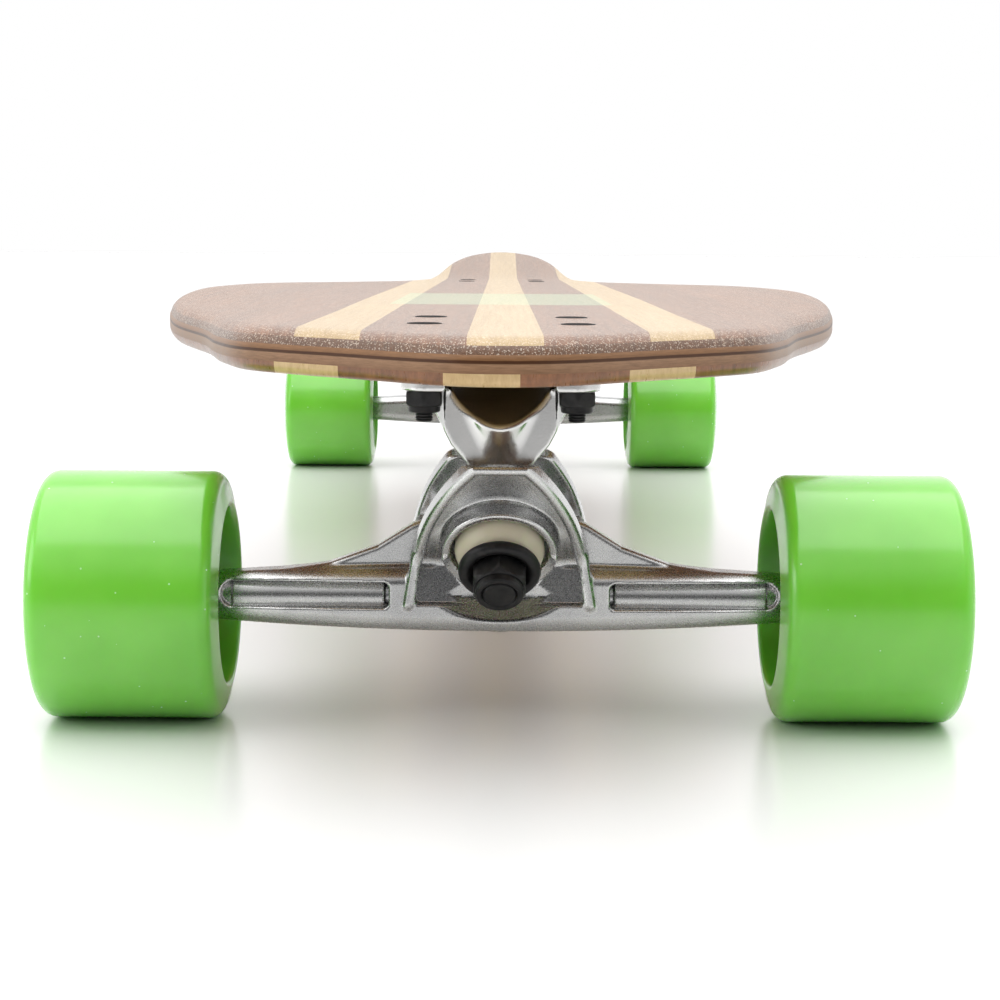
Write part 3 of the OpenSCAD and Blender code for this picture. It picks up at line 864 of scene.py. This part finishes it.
def cast_pieces(part, shape, low, high, bodies, material):
    """One casting, placed on both trucks."""
    points, quads, normals = cast(shape, low, high, CAST_STEP)
    for truck, (_, side) in TRUCKS.items():
        placed = truck_to_board(points, truck)
        turned = normals * np.array([side, side, 1])
        piece = make_piece(f"{truck}_{part}_casting", placed, quads, material, weld=False)
        piece.data.normals_split_custom_set_from_vertices(turned.tolist())
        finish_piece(piece, bodies[truck], "cast_aluminium", f"{truck}_{part}")


CAST_STEP = 0.6
BOARD = {"front": "board", "rear": "board"}
STEERED = {"front": "front_truck", "rear": "rear_truck"}
cast_pieces("hanger", hanger_shape, (0, -36, 16), (92, 32, 84), STEERED, M_CAST)
cast_pieces("baseplate", baseplate_shape, (0, -36, 15), (29, 56, 104), BOARD, M_POLISHED)


# ------------------------------------------------------------------ bushings, kingpins and bolts

# Places along the kingpin: seat, rim and free face of each bushing
ROAD_BUSHING = (-7.0, 0.0, 5.7)
BOARD_BUSHING = (-13.0, -18.0, -27.7)
# Kingpin: radius, inner end of its shank, flats of its head and nut, and where the nut starts
KINGPIN_R = 4.76
KINGPIN_LOW = -36.0
NUT_ACROSS = 14.3
NUT_START = 8.0


def kingpin_piece(name, truck, mesh, slot, material, node=None):
    """A turned piece about the kingpin: local z is t and local y is n."""
    points, faces = mesh
    points = truck_to_board(kingpin_to_truck(points), truck)
    piece = make_piece(f"{truck}_{name}", points, faces, material, sharp_deg=35)
    finish_piece(piece, "board", slot, f"{truck}_{node or name}")


def bushing_profile(foot, rim, face):
    """Straight foot in its seat, a slight bulge past the rim, then a cone up to the cup washer."""
    way = 1 if face > foot else -1
    rows = [(5.0, 0.0), (11.6, 0.0), (12.2, 0.5), (12.4, 1.2), (12.4, abs(rim - foot) - 0.8)]
    height = abs(face - foot)
    start = abs(rim - foot)
    for s in np.linspace(0, 1, 6):
        rows.append((12.55 - 1.9 * s ** 1.4, start + (height - start - 0.9) * s))
    rows += [(10.2, height - 0.5), (10.1, height), (5.0, height)]
    return [(r, foot + way * h) for r, h in rows]


def cup_profile(face, way):
    """Cup washer: a shallow dome with a round lip; way is the side it lies on."""
    lip = arc(9.5, 1.9, 1.9, -90, 120, 12)
    rows = [(5.0, 0.0), (9.6, 0.0)] + lip + [(7.6, 2.6), (7.0, 1.9), (5.0, 1.9)]
    return [(r, face + way * h) for r, h in rows]


def threads(radius, start, end, pitch, depth):
    """Profile rows of a thread, as ridges one pitch apart."""
    rows = []
    for h in np.arange(start, end - pitch / 2, pitch):
        rows += [(radius - depth, h), (radius, h + pitch * 0.45), (radius, h + pitch * 0.6)]
    return rows


def kingpin_profile():
    shaft = [(0.0, KINGPIN_LOW), (KINGPIN_R, KINGPIN_LOW), (KINGPIN_R, 3.0)]
    thread = threads(KINGPIN_R - 0.02, 3.2, 16.2, 1.0, 0.35)
    return shaft + thread + [(4.6, 16.3), (4.3, 16.6), (0.0, 16.6)]


def build_kingpins():
    steel = ("black_steel", M_BLACK)
    cream = ("bushing_urethane", M_CREAM)
    head = hex_nut(NUT_ACROSS, KINGPIN_LOW - 6.0, KINGPIN_LOW, 0.2)
    nut = hex_nut(NUT_ACROSS, NUT_START, NUT_START + 6.4, 4.7, 2.2)
    for truck in TRUCKS:
        kingpin_piece("kingpin", truck, turn(kingpin_profile(), 64), *steel)
        kingpin_piece("kingpin_head", truck, head, *steel, node="kingpin")
        kingpin_piece("kingpin_nut", truck, nut, *steel)
        kingpin_piece("washer_roadside", truck, turn(cup_profile(ROAD_BUSHING[-1], 1)), *steel)
        kingpin_piece("washer_boardside", truck, turn(cup_profile(BOARD_BUSHING[-1], -1)), *steel)
        kingpin_piece("bushing_roadside", truck, turn(bushing_profile(*ROAD_BUSHING)), *cream)
        kingpin_piece("bushing_boardside", truck, turn(bushing_profile(*BOARD_BUSHING)), *cream)


# Threaded shank of a mounting bolt as (radius, z), and its countersunk head as (radius, height from the top)
BOLT_SHANK = [(0.0, 86.5), (1.9, 86.5), (2.4, 87.0)] + threads(2.4, 87.1, 95.0, 0.8, 0.25) + [(2.4, 95.2)]
BOLT_HEAD = [
    (2.4, -10), (2.4, -2.6), (4.7, -0.4), (4.7, 0.22), (4.3, 0.26), (3.9, -0.35), (2.2, -0.7), (1.9, -0.9),
    (1.9, -2.0), (0.0, -2.0),
]


def build_bolts():
    bolt_points, bolt_faces = turn(BOLT_SHANK + [(r, DECK_TOP + h) for r, h in BOLT_HEAD], 36)
    nut_points, nut_faces = hex_nut(9.5, 0.0, 4.4, 2.3, 1.6, 48)
    nut_points = nut_points * (1, 1, -1) + (0, 0, 95)
    for truck in TRUCKS:
        bolts = [(truck_to_board(bolt_points + at, truck), bolt_faces) for at in bolt_offsets()]
        nuts = [(truck_to_board(nut_points + at, truck), nut_faces) for at in bolt_offsets()]
        for name, meshes in (("mounting_bolts", bolts), ("mounting_nuts", nuts)):
            piece = make_piece(f"{truck}_{name}", *merge_meshes(meshes), M_BLACK, sharp_deg=35)
            finish_piece(piece, "board", "black_steel", f"{truck}_{name}")


build_kingpins()
build_bolts()


# ------------------------------------------------------------------ wheels and axles

# Places along the axle from the wheel's middle: middle and half width of each bearing and speed washer,
# and the face where the axle nut starts
BEARING_MIDDLE = 8.5
BEARING_HALF = 3.5
WASHER_MIDDLE = 12.4
WASHER_HALF = 0.4
WASHER_END = WASHER_MIDDLE + WASHER_HALF


def at_wheel(points, wheel):
    """Points turned about local z as points of the board: local z runs outward along the axle."""
    truck, side = WHEELS[wheel]
    p = np.asarray(points, float)
    return np.column_stack([side * (WHEEL_X + p[:, 2]), TRUCKS[truck][0] + p[:, 0], AXLE_Z + p[:, 1]])


def both_sides(half):
    """A closed profile from its outward half, listed from the bore round to the rim."""
    return half + [(r, -h) for r, h in half[::-1]]


TYRE = both_sides(
    [(18.5, 12.6), (18.6, 12.95), (20.0, 13.0)] + arc(20.0, 16.5, 3.5, -90, -15, 5)
    + [(24.7, 24.2)] + arc(26.2, 25.1, 1.4, 170, 80, 6)
    + arc(31.0, 21.3, 4.0, 84, 0, 9) + [(35.0, 14.0), (35.0, 6.0)]
)
CORE = both_sides([(9.5, 4.9), (11.0, 5.0), (11.0, 12.5), (11.4, 12.9), (18.2, 12.9), (18.5, 12.6)])


def wheel_piece(name, wheel, meshes, body, slot, material, *nodes, sharp_deg=30):
    points, faces = merge_meshes(meshes)
    piece = make_piece(f"{wheel}_{name}", at_wheel(points, wheel), faces, material, sharp_deg=sharp_deg)
    finish_piece(piece, body, slot, *[f"{wheel}_{n}" for n in nodes])


def bearing_ring(inner, outer, low, high, edge=0.35):
    """A flat ring along local z with small chamfers."""
    return turn([
        (inner, low + edge), (inner + edge, low), (outer - edge, low), (outer, low + edge),
        (outer, high - edge), (outer - edge, high), (inner + edge, high), (inner, high - edge),
    ], 64)


def ring_pair(inner, outer, middle_z, half, edge=0.35):
    """The same ring on both sides of the wheel's middle."""
    return [bearing_ring(inner, outer, s * middle_z - half, s * middle_z + half, edge) for s in (-1, 1)]


def build_wheels():
    tyre = [turn(TYRE, 160)]
    core = [turn(CORE, 96)]
    outer = ring_pair(9.7, 11.0, BEARING_MIDDLE, BEARING_HALF)
    seals = ring_pair(6.1, 9.7, 5.6, 0.3, 0.15) + ring_pair(6.1, 9.7, 11.4, 0.3, 0.15)
    inner = ring_pair(4.0, 5.8, BEARING_MIDDLE, BEARING_HALF)
    washers = ring_pair(4.1, 5.6, WASHER_MIDDLE, WASHER_HALF, 0.2)
    nut = [hex_nut(12.7, WASHER_END, 17.6, 4.0, 1.2)]
    for wheel, (truck, _) in WHEELS.items():
        still = STEERED[truck]
        wheel_piece("tyre", wheel, tyre, wheel, "wheel_urethane", M_GREEN, "tyre", sharp_deg=60)
        wheel_piece("core", wheel, core, wheel, "wheel_core", M_CORE, "core")
        wheel_piece("bearing_outer", wheel, outer, wheel, "bearing_steel", M_BEARING, "bearing_outer")
        wheel_piece("bearing_seals", wheel, seals, wheel, "black_steel", M_DARK_RUBBER)
        wheel_piece("bearing_inner", wheel, inner, still, "bearing_steel", M_BEARING, "bearing_inner")
        wheel_piece("speed_washers", wheel, washers, still, "axle_steel", M_STEEL, "speed_washers")
        wheel_piece("axle_nut", wheel, nut, still, "axle_steel", M_STEEL, "axle_nut")


def build_axles():
    half = span("front_axle")[1][0]
    thread_from = WHEEL_X + WASHER_END
    end = threads(AXLE_R, thread_from, half - 0.8, 0.8, 0.3)
    profile = [(AXLE_R, 0.0), (AXLE_R, thread_from - 0.2)] + end
    profile += [(3.5, half - 0.4), (3.1, half), (0.0, half)]
    profile = [(r, -h) for r, h in profile[::-1]] + profile
    points, faces = turn(profile, 48, closed=False)
    for truck, (y, _) in TRUCKS.items():
        placed = np.column_stack([points[:, 2], y + points[:, 0], AXLE_Z + points[:, 1]])
        piece = make_piece(f"{truck}_axle", placed, faces, M_STEEL, sharp_deg=35)
        finish_piece(piece, STEERED[truck], "axle_steel", f"{truck}_axle")


build_wheels()
build_axles()


# ------------------------------------------------------------------ CAD nodes that stay

def dress(node, material):
    """A carried-over CAD node keeps its shape and takes one of the materials made above."""
    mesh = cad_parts[node].data
    mesh.materials.clear()
    mesh.materials.append(material)


for truck in TRUCKS:
    dress(f"{truck}_pivot_cup", M_DARK_RUBBER)
for wheel in WHEELS:
    dress(f"{wheel}_bearing_balls", M_BEARING)
    dress(f"{wheel}_bearing_spacer", M_BEARING)


# ------------------------------------------------------------------ studio

def floor_material():
    """Glossy white sheet with a soft sheen."""
    material, add, put = new_material("white_floor")
    place = object_place(add)
    soft = noise(add, place, 6.0, 2.0, 0.5)
    tone = ramp(add, soft, [(0.3, (0.85, 0.85, 0.85)), (0.7, (0.87, 0.87, 0.865))])
    put("Base Color", tone)
    put("Roughness", math_node(add, "MULTIPLY_ADD", soft, 0.02, 0.21))
    put("IOR", 1.8)
    return material


def build_floor():
    """A sheet so large that its far edge lies near the horizon; half its side is in metres."""
    half = 30.0
    corners = [(-half, -half, 0), (half, -half, 0), (half, half, 0), (-half, half, 0)]
    mesh = bpy.data.meshes.new("studio_floor")
    mesh.from_pydata(corners, [], [(0, 1, 2, 3)])
    mesh.materials.append(floor_material())
    floor = bpy.data.objects.new("studio_floor", mesh)
    bpy.context.collection.objects.link(floor)


def map_range(tree, value, limits):
    """A node that maps a value from (low, high) to (low, high), clamped at both ends."""
    node = tree.nodes.new("ShaderNodeMapRange")
    tree.links.new(value, node.inputs["Value"])
    for socket, limit in zip(("From Min", "From Max", "To Min", "To Max"), limits):
        node.inputs[socket].default_value = limit
    return node.outputs[0]


def build_world():
    """White studio air, darker behind the camera so that polished metal has something to show."""
    world = bpy.data.worlds.new("studio")
    bpy.context.scene.world = world
    world.use_nodes = True
    tree = world.node_tree
    background = tree.nodes["Background"]
    coords = tree.nodes.new("ShaderNodeTexCoord")
    way = tree.nodes.new("ShaderNodeSeparateXYZ")
    tree.links.new(coords.outputs["Generated"], way.inputs[0])
    lit = tree.nodes.new("ShaderNodeMath")
    lit.operation = "MAXIMUM"
    tree.links.new(map_range(tree, way.outputs["Y"], (-0.85, -0.30, 0.0, 1.0)), lit.inputs[0])
    tree.links.new(map_range(tree, way.outputs["Z"], (0.30, 0.62, 0.0, 1.0)), lit.inputs[1])
    shade = tree.nodes.new("ShaderNodeValToRGB")
    tree.links.new(lit.outputs[0], shade.inputs[0])
    shade.color_ramp.elements[0].color = (0.06, 0.06, 0.062, 1)
    shade.color_ramp.elements[1].color = (1.0, 1.0, 1.0, 1)
    tree.links.new(shade.outputs[0], background.inputs["Color"])
    # A little brighter towards the far horizon; plain white where it is seen directly
    strength = map_range(tree, way.outputs["Y"], (0.2, 0.8, 0.95, 1.25))
    tree.links.new(strength, background.inputs["Strength"])
    seen = tree.nodes.new("ShaderNodeBackground")
    seen.inputs["Color"].default_value = (1.0, 1.0, 1.0, 1)
    seen.inputs["Strength"].default_value = 1.0
    choose = tree.nodes.new("ShaderNodeMixShader")
    rays = tree.nodes.new("ShaderNodeLightPath")
    tree.links.new(rays.outputs["Is Camera Ray"], choose.inputs[0])
    tree.links.new(background.outputs[0], choose.inputs[1])
    tree.links.new(seen.outputs[0], choose.inputs[2])
    tree.links.new(choose.outputs[0], tree.nodes["World Output"].inputs["Surface"])


def area_light(name, place, target, size, watts):
    """A rectangular light at a place in metres, aimed at a target."""
    data = bpy.data.lights.new(name, "AREA")
    data.shape = "RECTANGLE"
    data.size, data.size_y = size
    data.energy = watts
    light = bpy.data.objects.new(name, data)
    light.location = place
    aim = Vector(target) - Vector(place)
    light.rotation_euler = aim.to_track_quat("-Z", "Y").to_euler()
    bpy.context.collection.objects.link(light)


# Focal length in mm, distance in front of the front axle and height in mm, pitch down and roll in degrees
CAMERA_LENS = 74.88
CAMERA_BACK = 583.0
CAMERA_HEIGHT = 133.6
CAMERA_PITCH = 6.96
CAMERA_ROLL = 0.4


def build_camera():
    """The photograph's view: low in front of the nose, looking along the board."""
    data = bpy.data.cameras.new("camera")
    data.sensor_width = 36.0
    data.lens = CAMERA_LENS
    camera = bpy.data.objects.new("camera", data)
    camera.location = Vector((0.0, TRUCKS["front"][0] - CAMERA_BACK, CAMERA_HEIGHT)) * MM
    turn_down = math.radians(90 - CAMERA_PITCH)
    facing = Euler((turn_down, 0, 0)).to_matrix() @ Euler((0, 0, math.radians(CAMERA_ROLL))).to_matrix()
    camera.rotation_euler = facing.to_euler()
    bpy.context.collection.objects.link(camera)
    bpy.context.scene.camera = camera


build_floor()
build_world()
area_light("top_light", (0.0, -0.35, 1.6), (0.0, -0.2, 0.05), (2.2, 2.2), 30.0)
area_light("left_light", (-1.4, -0.9, 0.7), (0.0, -0.3, 0.05), (0.9, 0.9), 5.0)
build_camera()
bpy.context.scene.view_settings.view_transform = "Standard"
